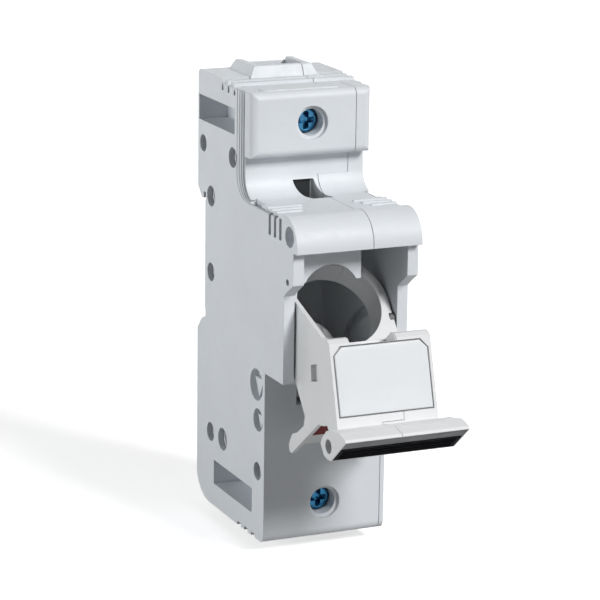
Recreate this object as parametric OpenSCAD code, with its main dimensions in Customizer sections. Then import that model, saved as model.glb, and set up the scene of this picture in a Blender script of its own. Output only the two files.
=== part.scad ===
// Rail-mounted fuse switch-disconnector, one pole, for a 22 x 58 cylindrical fuse link.
// X is the width, -Y is the front, +Z is up. The origin is the middle of the rail seat.
// The carrier is drawn in its shut position and swung open about the swing axis.

/* [Housing] */
// Width of the housing
body_w = 36; // [35:0.5:38]
// Height of the top face above the rail centre
top_z = 51.5; // [50:0.5:55]
// Depth of the bottom face below the rail centre
bottom_z = 71.5; // [70:0.5:75]
// Depth of the feet behind the rail seat
foot_y = 5.5; // [5:0.1:6.5]
// Thickness of the two cheeks beside the carrier
cheek_t = 3.05; // [2.6:0.05:3.2]
// Thickness of the outer side walls at the upper front
side_wall_t = 1.9; // [1.6:0.1:2.2]
// Distance of the upper side wall edge in front of the rail seat
upper_edge_y = 22.4; // [21:0.2:23]
// Distance of the hollow face below the upper cap
hollow_y = 27; // [26:0.2:28]
// Distance of the upper cap face
cap_y = 31.8; // [31:0.2:33]
// Lower edge of the upper cap
cap_low_z = 32.6; // [32:0.2:34]
// Edge radius of the upper cap
cap_r = 2; // [1:0.1:2.5]
// Distance of the lower front face
lower_y = 43.2; // [42.6:0.2:45]
// Height of the ledge behind the hood
ledge_z = 20.6; // [20.2:0.1:21]
// Offset of the parting line from the middle
parting_x = 3.8; // [3.4:0.2:4.2]
// Gap left by the parting line
seam_gap = 0.15; // [0.05:0.05:0.2]

/* [Hood and cheeks] */
// Radius of the hood
hood_r = 8.2; // [7.8:0.1:8.6]
// Distance of the hood centre
hood_y = 55.2; // [55:0.1:56]
// Height of the hood centre
hood_z = 14.2; // [14:0.1:14.6]
// Height of the hood lower edge
hood_low_z = 13.5; // [13.2:0.1:13.8]
// Front of the upper cheeks
cheek_y = 61; // [60:0.2:62]
// Front of the lower cheeks
cheek_low_y = 55.3; // [54.5:0.1:56]
// Lower end of the cheeks below the rail centre
cheek_end_z = 23.3; // [23:0.1:23.6]

/* [Rail seat] */
// Height of the mounting rail
rail_h = 35; // [35:0.1:35.3]
// Clearance of the rail in its seat
rail_gap = 0.2; // [0.1:0.05:0.3]
// Gap behind the rail flange before the claws
claw_gap = 1.3; // [1.2:0.05:1.5]
// Reach of the claws over the rail flange
claw_reach = 1.8; // [1.4:0.1:2]

/* [Fuse carrier] */
// Distance of the swing axis
swing_y = 48; // [47.8:0.1:48.2]
// Depth of the swing axis below the rail centre
swing_z = 38; // [37.8:0.1:38.2]
// Angle at which the carrier stands open
open_angle = 50; // [0:1:50]
// Radius of the fuse bore
bore_r = 11.9; // [11.6:0.05:12]
// Distance of the fuse axis when shut
fuse_y = 24; // [23.8:0.1:24.2]
// Clearance between the carrier and each cheek
carrier_gap = 0.5; // [0.4:0.05:0.6]
// Half of the grip width
grip_half = 17.6; // [17:0.1:17.9]
// Radius of the guide arc
guide_r = 30; // [29.6:0.1:30.4]
// Radius of the guide pins
pin_r = 1.4; // [1.2:0.1:1.5]
// Offset of the parting line of the carrier
carrier_parting_x = 4.6; // [4:0.2:5.5]

/* [Terminals] */
// Height of the upper screw
upper_screw_z = 41.6; // [41.4:0.1:41.8]
// Depth of the lower screw below the rail centre
lower_screw_z = 61.6; // [61.4:0.1:61.8]
// Step of the lower terminal towards the front
terminal_step = 11.6; // [11.4:0.1:11.8]
// Radius of the screw access
access_r = 3.7; // [3.6:0.05:3.9]
// Radius of the screw head
head_r = 3.4; // [3.2:0.05:3.5]
// Radius of the screw shank
shank_r = 2.5; // [2:0.1:2.6]
// Thickness of the contact strips
strip_t = 1.6; // [1.4:0.1:1.8]
// Half of the cage width
cage_half = 6.8; // [6.5:0.1:6.9]
// Wall thickness of the cage
cage_t = 1.5; // [1.3:0.1:1.6]
// Height of the cage along the cable
cage_h = 12; // [11:0.2:12.4]
// Thickness of the contact clips
clip_t = 1.2; // [1:0.05:1.3]

/* [Hidden] */
$fn = 64;
eps = 0.01;

shell_grey = [0.79, 0.82, 0.84];
carrier_white = [0.90, 0.91, 0.91];
copper_tin = [0.78, 0.76, 0.72];
zinc_blue = [0.30, 0.48, 0.62];
steel_grey = [0.70, 0.71, 0.73];

half_w = body_w / 2;
core_half = half_w - side_wall_t;
bay_half = half_w - cheek_t;
carrier_half = bay_half - carrier_gap;
drum_r = carrier_half;
seat_half = rail_h / 2 + rail_gap;
seat_relief = 0.4;
land_half = 15.4;
deck_drop = 1.1;
deck_z = top_z - deck_drop;
hollow_r = 6;
inner_ledge_z = ledge_z + 1;
bay_back_y = 7.5;
bay_roof_z = 19;
bay_low_z = 41;
well_half = 13.6;
front_wall_t = 2.2;
gate_z = 33;

// Extrudes a side outline, drawn as distance to the rear and height, from x0 to x1.
module slab(x0, x1) {
    translate([x0, 0, 0]) rotate([90, 0, 90]) linear_extrude(x1 - x0) children();
}

// Extrudes an outline drawn in width and distance upwards from z0 to z1.
module plan(z0, z1) {
    translate([0, 0, z0]) linear_extrude(z1 - z0) children();
}

// A box between two corners.
module span(low, high) {
    translate(low) cube(high - low);
}

// A rod along X.
module rod_x(x0, x1, y, z, r, sides = 48) {
    translate([x0, y, z]) rotate([0, 90, 0]) cylinder(h = x1 - x0, r = r, $fn = sides);
}

// A rod along Y.
module rod_y(y0, y1, x, z, r, sides = 48) {
    translate([x, y1, z]) rotate([90, 0, 0]) cylinder(h = y1 - y0, r = r, $fn = sides);
}

// Turns the carrier pieces from shut to open about the swing axis.
module swung() {
    translate([0, -swing_y, -swing_z]) rotate([open_angle, 0, 0]) translate([0, swing_y, swing_z])
        children();
}

// Copies a piece to the other side of the middle plane.
module both_sides() {
    children();
    mirror([1, 0, 0]) children();
}

// Side outline of the rear block with its feet, rail seat, chamfers and claw.
module rear_outline(swell = 0) {
    polygon([[foot_y, top_z - 0.8], [foot_y - 0.8, top_z], [-11.6, top_z], [-11.6, deck_z],
        [-upper_edge_y - swell, deck_z], [-upper_edge_y - swell, ledge_z + ledge_rise * swell],
        [-hood_y, ledge_z + ledge_rise * swell], [-hood_y, hood_low_z],
        [-cheek_y, hood_low_z], [-cheek_y, 4.8], [-57.6, 2.6], [-cheek_low_y, 0.8],
        [-cheek_low_y, -cheek_end_z], [-lower_y, -cheek_end_z], [-lower_y, 2.5 - bottom_z],
        [2.5 - lower_y, -bottom_z], [-3.6, -bottom_z], [-0.6, 0.5 - bottom_z], [2.2, 1.9 - bottom_z],
        [4.2, 3.8 - bottom_z], [foot_y, 6.2 - bottom_z], [foot_y, -seat_half - 4.6],
        [2.5, -seat_half - 1.2], [-seat_relief, -seat_half], [-seat_relief, -land_half], [0, -land_half],
        [0, land_half], [-seat_relief, land_half], [-seat_relief, seat_half],
        [claw_gap, seat_half], [claw_gap, seat_half - claw_reach], [claw_gap + 1.4, seat_half - claw_reach],
        [foot_y, seat_half + 1]]);
}

// Side outline of a hollow corner of radius r below the deck at distance y.
module hollow_corner(y, z, r) {
    difference() {
        translate([-y - r, z]) square([r + eps, r]);
        translate([-y - r, z + r]) circle(r = r);
    }
}

// Side outline of the hood, cut off at its lower edge.
module hood_outline(r) {
    intersection() {
        translate([-hood_y, hood_z]) circle(r = r);
        translate([-hood_y - r, hood_low_z]) square([2 * r, 2 * r]);
    }
}

// Side outline of the outer walls; swell moves the upper front edge forward.
module wall_outline(swell = 0) {
    rear_outline(swell);
    hollow_corner(upper_edge_y + swell, ledge_z + ledge_rise * swell, hollow_r + 1.4 - 0.2 * swell);
    hood_outline(hood_r);
    translate([2.5 - lower_y, 2.5 - bottom_z]) circle(r = 2.5);
}

// Side outline of the core between the outer walls.
module core_outline() {
    wall_outline();
    translate([-hollow_y, ledge_z]) square([hollow_y - upper_edge_y + 1, deck_z - ledge_z]);
    hollow_corner(hollow_y, inner_ledge_z, hollow_r);
    translate([-hood_y, ledge_z - 1]) square([hood_y - hollow_y + 1, inner_ledge_z - ledge_z + 1]);
}

// Depth from the side and forward reach of each step of the rounded wall edge.
edge_steps = [[0, 0], [0.12, 1.3], [0.3, 2.3], [0.6, 3.1], [1, 3.5]];
ledge_rise = 0.1;
groove_w = 0.7;
front_half = half_w - 0.6;

// Outer walls with a rounded front edge, and the core behind a narrow groove.
module blocks() {
    for (e = edge_steps) slab(e[0] - half_w, half_w - e[0]) wall_outline(e[1]);
    slab(-core_half, core_half) core_outline();
    slab(-front_half, front_half) difference() {
        core_outline();
        wall_outline(edge_steps[4][1] + groove_w);
        translate([-hood_y - 10, 0]) square([10 + eps, 40]);
    }
}

cap_half = half_w - 0.5;
cap_back_y = 26.6;

// Upper cap with rounded front edges.
module cap() {
    intersection() {
        slab(-cap_half, cap_half) {
            translate([-cap_y, cap_low_z + cap_r]) square([cap_y, deck_z - cap_low_z - 2 * cap_r]);
            translate([cap_r - cap_y, cap_low_z]) square([cap_y - cap_r, deck_z - cap_low_z]);
            for (z = [cap_low_z + cap_r, deck_z - cap_r]) translate([cap_r - cap_y, z]) circle(r = cap_r);
        }
        plan(cap_low_z - 1, top_z + 1) {
            translate([cap_r - cap_half, -cap_y]) square([2 * (cap_half - cap_r), cap_y - cap_back_y]);
            translate([-cap_half, cap_r - cap_y]) square([2 * cap_half, cap_y - cap_r - cap_back_y]);
            both_sides() translate([cap_half - cap_r, cap_r - cap_y]) circle(r = cap_r);
        }
    }
}

collar_h = 2.7;
collar_half = 10.4;
collar_slope = 1.9;
entry_half = 6.6;
entry_front_y = 9.4;
entry_back_y = 2.2;

// Sloped collar round the upper cable entry.
module entry_collar() {
    intersection() {
        slab(-collar_half, collar_half) polygon([[3.6, top_z - 1], [3.6 - collar_slope, top_z + collar_h],
            [-11.4, top_z + collar_h], [-11.4 - collar_slope, top_z - 1]]);
        rotate([90, 0, 0]) translate([0, 0, -6]) linear_extrude(24)
            polygon([[-collar_half, top_z - 1], [collar_half, top_z - 1],
                [collar_half - collar_slope, top_z + collar_h], [collar_slope - collar_half, top_z + collar_h]]);
    }
}

// Cross ribs on the deck in front of the cable entry, and the raised strip behind the cap edge.
module deck_ribs() {
    for (y = rib_y) span([0.2 - half_w, y - 0.9, deck_z - 1], [half_w - 0.2, y + 0.9, top_z - 0.25]);
    plan(deck_z - 0.5, deck_z + 0.35) {
        translate([strip_x0, -29.4]) square([strip_x1 - strip_x0, 4]);
        for (x = [strip_x0, strip_x1]) translate([x, -27.4]) circle(r = 2);
    }
}
rib_y = [-14.2, -18.4];
strip_x0 = -11.6;
strip_x1 = 7.4;

// Grooves between the deck ribs, cut through the side walls.
module deck_grooves() {
    both_sides() for (y = [rib_y[0] + 2.1, rib_y[0] - 2.1, rib_y[1] - 2.1])
        span([core_half - 1, y - 0.55, top_z - 3.2], [half_w + 1, y + 0.55, top_z + 1]);
}

// Low ribs on the shelf behind the hood.
module shelf_ribs() {
    both_sides() for (i = [0:2])
        span([7.6 + 1.2 * i, -42.6 - 3 * i, ledge_z - 1], [half_w - 0.5, -41.6 - 3 * i, inner_ledge_z + 0.45]);
}

// Latch slots in the grooves beside the shelf.
module shelf_slots() {
    both_sides() span([15.7, -38.5, ledge_z - 1.2], [half_w - 0.4, -31, inner_ledge_z + 1]);
}

pocket_depth = 8.5;
pocket_h = 7;
pocket_len = 25.6;
upper_pocket_y = 20.8;
lower_pocket_y = 35;

// Deep side pockets beside the terminals.
module side_pockets() {
    both_sides() {
        span([half_w - pocket_depth, -upper_pocket_y, upper_screw_z - 4],
            [half_w + 1, pocket_len - upper_pocket_y, upper_screw_z - 4 + pocket_h]);
        span([half_w - pocket_depth, -lower_pocket_y, -lower_screw_z - 3.4],
            [half_w + 1, pocket_len + 2 - lower_pocket_y, pocket_h - 3.4 - lower_screw_z]);
    }
}

// Distance, height and recess radius of each rivet through both shells.
rivets = [[1.6, 31.3, 2.4], [-19.6, 31.1, 2.8], [-4.2, 17.4, 2.9], [-4.4, -4.1, 2.6],
    [-4.8, -50.4, 2.7], [-13.7, -50.1, 3.2], [-38.6, -52, 2.5]];
rivet_r = 1.5;
recess_depth = 2.2;
plug_recess = [[-37.5, -27.9, 4.4], [-38.8, -37.5, 3.2]];

// Bores and recesses of the rivets.
module rivet_holes() {
    for (p = rivets) {
        rod_x(-half_w - 1, half_w + 1, p[0], p[1], rivet_r + 0.05);
        both_sides() rod_x(half_w - recess_depth, half_w + 1, p[0], p[1], p[2]);
    }
    both_sides() for (p = plug_recess) difference() {
        rod_x(half_w - recess_depth, half_w + 1, p[0], p[1], p[2]);
        rod_x(half_w - recess_depth - eps, half_w - 0.9, p[0], p[1], p[2] * 0.78, 3);
    }
}

// Space between the cheeks, under the hood and round the contact clips.
module bay() {
    slab(-bay_half, bay_half) {
        polygon([[-80, hood_low_z - 1.6], [-80, -cheek_end_z], [-bay_back_y, -cheek_end_z],
            [-bay_back_y, bay_roof_z], [-hood_y, bay_roof_z], [-hood_y, hood_low_z - eps],
            [-cheek_y - 1, hood_low_z - eps]]);
        hood_hollow();
    }
    span([-well_half, front_wall_t - lower_y, -bay_low_z], [well_half, -bay_back_y, -cheek_end_z + eps]);
    span([-trough_half - 1.5, -80, -gate_z], [trough_half + 1.5, front_wall_t - lower_y + eps, -cheek_end_z + eps]);
}

// Hollow of the hood.
module hood_hollow() {
    hood_wall = 2;
    intersection() {
        translate([-hood_y, hood_z]) circle(r = hood_r - hood_wall);
        translate([-hood_y - hood_r, hood_low_z - 1]) square([hood_r + 1, 2 * hood_r]);
    }
}

arch_y = 55;
arch_t = 2;
arch_low_z = 3.8;
arch_r = 8.3;
arch_x = -4.5;
arch_centre_z = -0.1;

// Arched apron that hangs behind the hood on the left shell.
module arch_apron() {
    difference() {
        span([-bay_half - 0.3, -arch_y, arch_low_z], [arch_end_x, arch_t - arch_y, bay_roof_z + 0.3]);
        rod_y(-arch_y - 1, arch_t + 1 - arch_y, arch_x, arch_centre_z, arch_r);
    }
}
arch_end_x = 4.2;

guide_play = 0.2;
end_relief = 0.06;
guide_depth = 1.7;
guide_low_angle = 35;
guide_pitch = 15;

// Arc grooves of the guide pins in the inner faces of the cheeks.
module guide_grooves() {
    start = guide_low_angle;
    sweep = open_limit + guide_pitch;
    both_sides() {
        translate([bay_half - eps, -swing_y, -swing_z]) rotate([90, 0, 90]) rotate([0, 0, start])
            rotate_extrude(angle = sweep, $fn = 128)
                translate([guide_r - pin_r - guide_play + end_relief, 0])
                    square([2 * (pin_r + guide_play - end_relief), guide_depth]);
        for (a = [start, start + sweep])
            rod_x(bay_half - eps, bay_half + guide_depth, guide_r * cos(a) - swing_y,
                guide_r * sin(a) - swing_z, pin_r + guide_play);
    }
}
open_limit = 50;

cage_back_y = 3.9;
chamber_gap = 0.35;
cage_front_y = 19.4;
cage_travel = 4.5;
strip_y = 8.4;

// Chamber of one terminal about its screw axis; up is 1 above and -1 below.
module terminal_chamber(up) {
    reach = cage_front_y + cage_travel + chamber_gap;
    span([-cage_half - chamber_gap, -reach, -cage_h / 2 - 1.6],
        [cage_half + chamber_gap, cage_back_y + chamber_gap, cage_h / 2 + 1.6]);
    entry_low = up > 0 ? 0 : -20;
    span([-entry_half, -entry_front_y, entry_low], [entry_half, entry_back_y, entry_low + 20]);
    rod_y(-40, -reach + 1, 0, 0, access_r);
}

// Both terminal chambers, cable entries, screw tunnels and strip channels.
module terminals_space() {
    translate([0, 0, upper_screw_z]) terminal_chamber(1);
    translate([0, -terminal_step, -lower_screw_z]) terminal_chamber(-1);
    rod_y(-cap_y - 1, 1.2 - cap_y, 0, upper_screw_z, access_r + 0.9);
    rod_y(-lower_y - 1, 1.2 - lower_y, 0, -lower_screw_z, access_r + 0.9);
    channel = strip_half + 0.3;
    span([-channel, -clip_back_y - strip_t - 0.5, bay_roof_z - 1], [channel, 0.5 - strip_y, strip_jog_z + 0.5]);
    span([-channel, -strip_y - strip_t - 0.5, bay_roof_z - 1], [channel, 0.5 - strip_y, upper_screw_z]);
    span([-channel, -strip_y - strip_t - 0.5 - terminal_step, -lower_screw_z],
        [channel, 0.5 - strip_y - terminal_step, jog_z + 0.5]);
    span([-channel, -strip_y - strip_t - 0.5 - terminal_step, jog_z - strip_t - 0.5],
        [channel, 0.5 - clip_back_y, jog_z + 0.5]);
    span([-channel, -clip_back_y - strip_t, jog_z - 0.5], [channel, 0.5 - clip_back_y, 1 - bay_low_z]);
}
strip_half = 5;
strip_jog_z = 24;
jog_z = -43;
clip_back_y = fuse_y - bore_r - clip_t - 1.2;

slot_w = 6.1;
slot_left_x = -4;
slot_lean = 3.2;
slot_back_y = 26.4;
slot_front_y = 35;
slot_top_z = 25.3;
slot_room = 9;

// Slanted test slot at the foot of the hollow face.
module test_slot() {
    left_x = slot_left_x;
    right_x = slot_left_x + slot_w;
    plan(bay_roof_z - 3, slot_top_z) polygon([[left_x, -slot_back_y], [right_x, -slot_back_y],
        [right_x + slot_lean, -slot_front_y], [left_x + slot_lean, -slot_front_y]]);
    span([-slot_room, 1 - slot_back_y, bay_roof_z - 1], [slot_room, 8.4 - slot_back_y, slot_top_z - 0.3]);
    span([-slot_room, -slot_front_y - 3, bay_roof_z - 1], [slot_room, 1 + eps - slot_back_y, inner_ledge_z - 1.6]);
}

// Louvres and blind holes near the hood on each side.
module hood_vents() {
    both_sides() {
        for (i = [0:2]) span([half_w - 2, -46.1 - 3.5 * i, 15.2], [half_w + 1, -44.6 - 3.5 * i, 21]);
        rod_x(half_w - 3, half_w + 1, -58.4, 17.3, 2.8);
        rod_x(half_w - 2, half_w + 1, -57.4, 5, 0.9, 24);
    }
}

// Grip grooves under the bottom edge.
module bottom_grooves() {
    for (i = [0:2]) span([-half_w - 1, -37.2 + 4.9 * i, -bottom_z - 1], [half_w + 1, -34.8 + 4.9 * i, 1 - bottom_z]);
}

latch_half = 6.5;
latch_t = 3;
latch_low_z = 70.8;
latch_travel = 3;
latch_front_y = 0.9;
latch_gap = 0.3;
spring_top_z = 27;
spring_len = 11;

// Guide of the rail latch in the lower foot.
module latch_guide() {
    span([-latch_half - latch_gap, latch_front_y - latch_gap, -bottom_z - 1],
        [latch_half + latch_gap, latch_front_y + latch_t + latch_gap, -seat_half + 5]);
    span([-spring_r - 0.4, -2 * spring_r - 0.3, -spring_top_z - spring_len],
        [spring_r + 0.4, latch_front_y, finger_h + 0.3 - spring_top_z]);
}
spring_r = 2;
finger_h = 2;

// Whole housing before it is parted.
module housing() {
    difference() {
        union() {
            blocks();
            cap();
            shelf_ribs();
            entry_collar();
            deck_ribs();
        }
        bay();
        guide_grooves();
        terminals_space();
        side_pockets();
        rivet_holes();
        test_slot();
        hood_vents();
        bottom_grooves();
        latch_guide();
        deck_grooves();
        shelf_slots();
    }
    arch_apron();
}

cap_parting_x = half_w - 5.2;
collar_parting_x = 5.6;
front_parting_x = half_w - 1.4;
cap_parting_z = 26.5;

// Space of the left shell, with the step of the parting line at the cap.
module left_space(gap) {
    span([-half_w - 1, -90, -bottom_z - 1], [parting_x + gap, foot_y + 1, top_z + 5]);
    span([0, -cap_y - 1, cap_parting_z], [cap_parting_x + gap, -upper_edge_y, deck_z + 1]);
    span([0, -upper_edge_y - 1, cap_low_z], [collar_parting_x + gap, foot_y + 1, top_z + 5]);
    span([0, -lower_y - 1, -bottom_z - 1], [front_parting_x + gap, front_wall_t - lower_y, -cheek_end_z]);
    span([0, -arch_y - 0.1, arch_low_z - 1], [arch_end_x + 0.1 + gap, arch_t + 0.1 - arch_y, bay_roof_z + 0.4]);
}

// Left shell with the stepped cap.
module housing_left() {
    color(shell_grey) intersection() {
        housing();
        left_space(0);
    }
}

// Right shell.
module housing_right() {
    color(shell_grey) difference() {
        housing();
        left_space(seam_gap);
    }
}

rivet_head_h = 0.9;

// Rivets with a formed head in each recess.
module housing_rivets() {
    seat_x = half_w - recess_depth;
    color(steel_grey) for (p = rivets) {
        rod_x(-seat_x - eps, seat_x + eps, p[0], p[1], rivet_r);
        both_sides() difference() {
            rod_x(seat_x, seat_x + rivet_head_h, p[0], p[1], p[2] - 0.4);
            rod_x(seat_x + 0.3, seat_x + rivet_head_h + 1, p[0], p[1], 0.8, 24);
        }
    }
}

clip_r = 11.1;
clip_h = 13;
upper_clip_z = 4.6;
lower_clip_z = -38;
clip_open = 52;

// C-shaped band about the fuse axis, open to the front.
module fuse_band(r0, r1, z0, z1, gap_angle) {
    translate([0, -fuse_y, z0]) rotate([0, 0, -90 + gap_angle])
        rotate_extrude(angle = 360 - 2 * gap_angle, $fn = 96) translate([r0, 0]) square([r1 - r0, z1 - z0]);
}

// Flared lips of a contact clip.
module clip_lips(z0, z1) {
    mid_r = clip_r + clip_t / 2;
    both_sides() translate([mid_r * sin(clip_open), -fuse_y - mid_r * cos(clip_open), z0])
        rotate([0, 0, -72]) translate([-0.3, -clip_t / 2, 0]) cube([3.2, clip_t, z1 - z0]);
}

// Contact clip with its terminal strip to the upper clamp.
module upper_contact() {
    back = -clip_back_y - strip_t;
    color(copper_tin) {
        fuse_band(clip_r, clip_r + clip_t, upper_clip_z, upper_clip_z + clip_h, clip_open);
        clip_lips(upper_clip_z, upper_clip_z + clip_h);
        span([-strip_half, back - 0.6, upper_clip_z + 2], [strip_half, back + strip_t, upper_clip_z + clip_h]);
        span([-strip_half, back, upper_clip_z + 2], [strip_half, back + strip_t, strip_jog_z]);
        span([-strip_half, back, strip_jog_z - strip_t], [strip_half, -strip_y, strip_jog_z]);
        span([-strip_half, -strip_y - strip_t, strip_jog_z - strip_t], [strip_half, -strip_y, upper_screw_z + 5]);
    }
}

// Contact clip with its stepped strip to the lower clamp.
module lower_contact() {
    back = -clip_back_y - strip_t;
    step_y = -strip_y - terminal_step;
    color(copper_tin) {
        fuse_band(clip_r, clip_r + clip_t, lower_clip_z, lower_clip_z + clip_h, clip_open);
        clip_lips(lower_clip_z, lower_clip_z + clip_h);
        span([-strip_half, back - 0.6, lower_clip_z], [strip_half, back + strip_t, lower_clip_z + clip_h - 2]);
        span([-strip_half, back, jog_z - strip_t], [strip_half, back + strip_t, lower_clip_z + 4]);
        span([-strip_half, step_y - strip_t, jog_z - strip_t], [strip_half, back + strip_t, jog_z]);
        span([-strip_half, step_y - strip_t, -lower_screw_z - 5], [strip_half, step_y, jog_z]);
    }
}

spring_band_t = 0.8;
spring_band_h = 6;

// Steel band that presses a contact clip together.
module contact_spring(z0) {
    color(steel_grey) fuse_band(clip_r + clip_t + 0.02, clip_r + clip_t + spring_band_t,
        z0 + (clip_h - spring_band_h) / 2, z0 + (clip_h + spring_band_h) / 2, clip_open + 10);
}

// Upper spring band.
module upper_contact_spring() {
    difference() {
        contact_spring(upper_clip_z);
        strip_relief(upper_clip_z);
    }
}

// Lower spring band.
module lower_contact_spring() {
    difference() {
        contact_spring(lower_clip_z);
        strip_relief(lower_clip_z);
    }
}

// Opening of a spring band where the strip joins the clip.
module strip_relief(z0) {
    span([-strip_half - 0.3, -fuse_y + clip_r - 2, z0 - 1], [strip_half + 0.3, -clip_back_y + 2, z0 + clip_h + 1]);
}

// Screw clamp cage about its screw axis.
module clamp_cage() {
    color(zinc_blue) difference() {
        span([-cage_half, -cage_front_y, -cage_h / 2], [cage_half, cage_back_y, cage_h / 2]);
        span([cage_t - cage_half, -cage_front_y + 2.4, -cage_h], [cage_half - cage_t, cage_back_y - cage_t, cage_h]);
        rod_y(-cage_front_y - 1, -cage_front_y + 4, 0, 0, shank_r + 0.05);
    }
}

// Upper cage.
module upper_clamp_cage() {
    translate([0, 0, upper_screw_z]) clamp_cage();
}

// Lower cage.
module lower_clamp_cage() {
    translate([0, -terminal_step, -lower_screw_z]) clamp_cage();
}

head_h = 3.2;

// Clamp screw with a cross recess in its head.
module clamp_screw() {
    head_back = -cage_front_y - cage_travel - 0.3;
    color(zinc_blue) difference() {
        union() {
            rod_y(head_back, -strip_y - strip_t - 0.05, 0, 0, shank_r);
            rod_y(head_back - head_h, head_back + eps, 0, 0, head_r);
        }
        for (a = [45, 135]) translate([0, head_back - head_h, 0]) rotate([0, a, 0])
            span([-2.1, -1, -0.5], [2.1, 1.9, 0.5]);
    }
}

// Upper screw.
module upper_clamp_screw() {
    translate([0, 0, upper_screw_z]) clamp_screw();
}

// Lower screw.
module lower_clamp_screw() {
    translate([0, -terminal_step, -lower_screw_z]) clamp_screw();
}

// Sliding latch with its claw, spring finger and pull eye.
module rail_latch() {
    back = latch_front_y + latch_t;
    claw_z = -seat_half + claw_reach;
    color(shell_grey) difference() {
        union() {
            slab(-latch_half, latch_half) polygon([[latch_front_y, -latch_low_z], [back, -latch_low_z + 2],
                [back, -seat_half - 3], [claw_gap + 1.2, claw_z], [claw_gap, claw_z], [claw_gap, -seat_half],
                [latch_front_y, -seat_half - 0.6]]);
            span([-spring_r, -2 * spring_r, -spring_top_z], [spring_r, back - 1, finger_h - spring_top_z]);
        }
        span([-3, -5, 2 - latch_low_z], [3, back + 1, 4.4 - latch_low_z]);
    }
}

wire_r = 0.3;
coil_turns = 6;

// Points of one ring of the spring wire at step i.
function coil_ring(i, steps, sides) = let (a = 360 * coil_turns * i / steps, h = (spring_len - 2 * wire_r - 0.1) * i / steps)
    [for (k = [0:sides - 1]) let (b = 360 * k / sides, r = spring_r - 0.4 + wire_r * cos(b))
        [r * cos(a), r * sin(a), h + wire_r * sin(b)]];

// Compression spring of the latch.
module latch_spring() {
    sides = 8;
    steps = coil_turns * 16;
    points = [for (i = [0:steps]) each coil_ring(i, steps, sides)];
    faces = [for (i = [0:steps - 1], k = [0:sides - 1]) let (n = (k + 1) % sides)
        [i * sides + k, (i + 1) * sides + k, (i + 1) * sides + n, i * sides + n]];
    ends = [[for (k = [0:sides - 1]) k], [for (k = [sides - 1:-1:0]) steps * sides + k]];
    color(steel_grey) translate([0, -spring_r, wire_r + 0.05 - spring_top_z - spring_len])
        polyhedron(points = points, faces = concat(faces, ends), convexity = 8);
}

plate_top = [-42.6, 3.2];
plate_foot = [-62.6, -5.6];
drum_low_z = -22.6;
rim_z = -14;
inner_half = carrier_half - 1.2;
pocket_front_y = 40.2;
trough_half = 7.2;
trough_y = 38.4;
floor_top_z = -38.2;
floor_t = 1.8;

// Side outline of the carrier between the cheeks, when shut.
module carrier_outline() {
    polygon([[-fuse_y, drum_low_z], [-fuse_y, -9.4], [-39.2, 0.2], [-41, 2.6], plate_top, plate_foot,
        [-65.5, -6.5], [-65.5, -10.9], [-59, -10.9], [-58.3, -13], [-56.5, -15.9], [-55.4, -37], [-54.2, -38],
        [-52.6, -37.2], [-51.3, -33.5], [-52.4, -30], [-52.8, -25], [-51, drum_low_z]]);
}

// Side outline of the grip lip, when shut.
module grip_outline() {
    polygon([plate_foot, [-66, 0.9], [-69.2, 3.4], [-70.1, 3.4], [-70.1, -7.8], [-68.6, -9.8],
        [-67, -10.9], [-63.7, -10.9], [-63, -9.4]]);
}

// Drum about the fuse axis with an oblique rim.
module drum() {
    intersection() {
        translate([0, -fuse_y, drum_low_z]) cylinder(h = 30, r = drum_r, $fn = 96);
        slab(-carrier_half, carrier_half)
            polygon([[0, drum_low_z - 1], [0, rim_z], [-16, rim_z], [-fuse_y, -9.4], [-fuse_y - 1, -9.4],
                [-fuse_y - 1, drum_low_z - 1]]);
    }
}

// Trough and floor that carry the lower end of the fuse link.
module fuse_trough() {
    span([-trough_half, -trough_y, floor_top_z - floor_t], [trough_half, 2.4 - trough_y, drum_low_z + 1]);
    span([-trough_half, -trough_y, floor_top_z - floor_t], [trough_half, -fuse_y, floor_top_z]);
    translate([0, -fuse_y, floor_top_z - floor_t]) cylinder(h = floor_t, r = trough_half);
}

insert_half = 13.3;
insert_len = 17.8;
insert_t = 0.9;
insert_top = 1;
insert_gap = 0.3;
insert_corner = 2.1;
plate_tilt = atan2(plate_top[1] - plate_foot[1], plate_top[0] - plate_foot[0]);

// Outline of the marking insert in the plane of the carrier plate, grown by a gap.
module insert_outline(gap) {
    w = insert_half + gap;
    polygon([[-w, -insert_top - insert_len - gap], [w, -insert_top - insert_len - gap],
        [w, -insert_top - insert_corner], [w - insert_corner, gap - insert_top],
        [insert_corner - w, gap - insert_top], [-w, -insert_top - insert_corner]]);
}

// Places a flat piece on the carrier plate.
module on_plate() {
    translate([0, plate_top[0], plate_top[1]]) rotate([plate_tilt, 0, 0]) children();
}

grip_hole_r = 1.9;
grip_plate_t = 0.7;
grip_plate_low_z = -7.6;
grip_plate_high_z = 3.2;
lens_x0 = -12.8;
lens_x1 = -4;
lens_t = 1.2;
lens_low_z = -17.4;
lens_high_z = -12.2;
lens_proud = 0.3;

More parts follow.
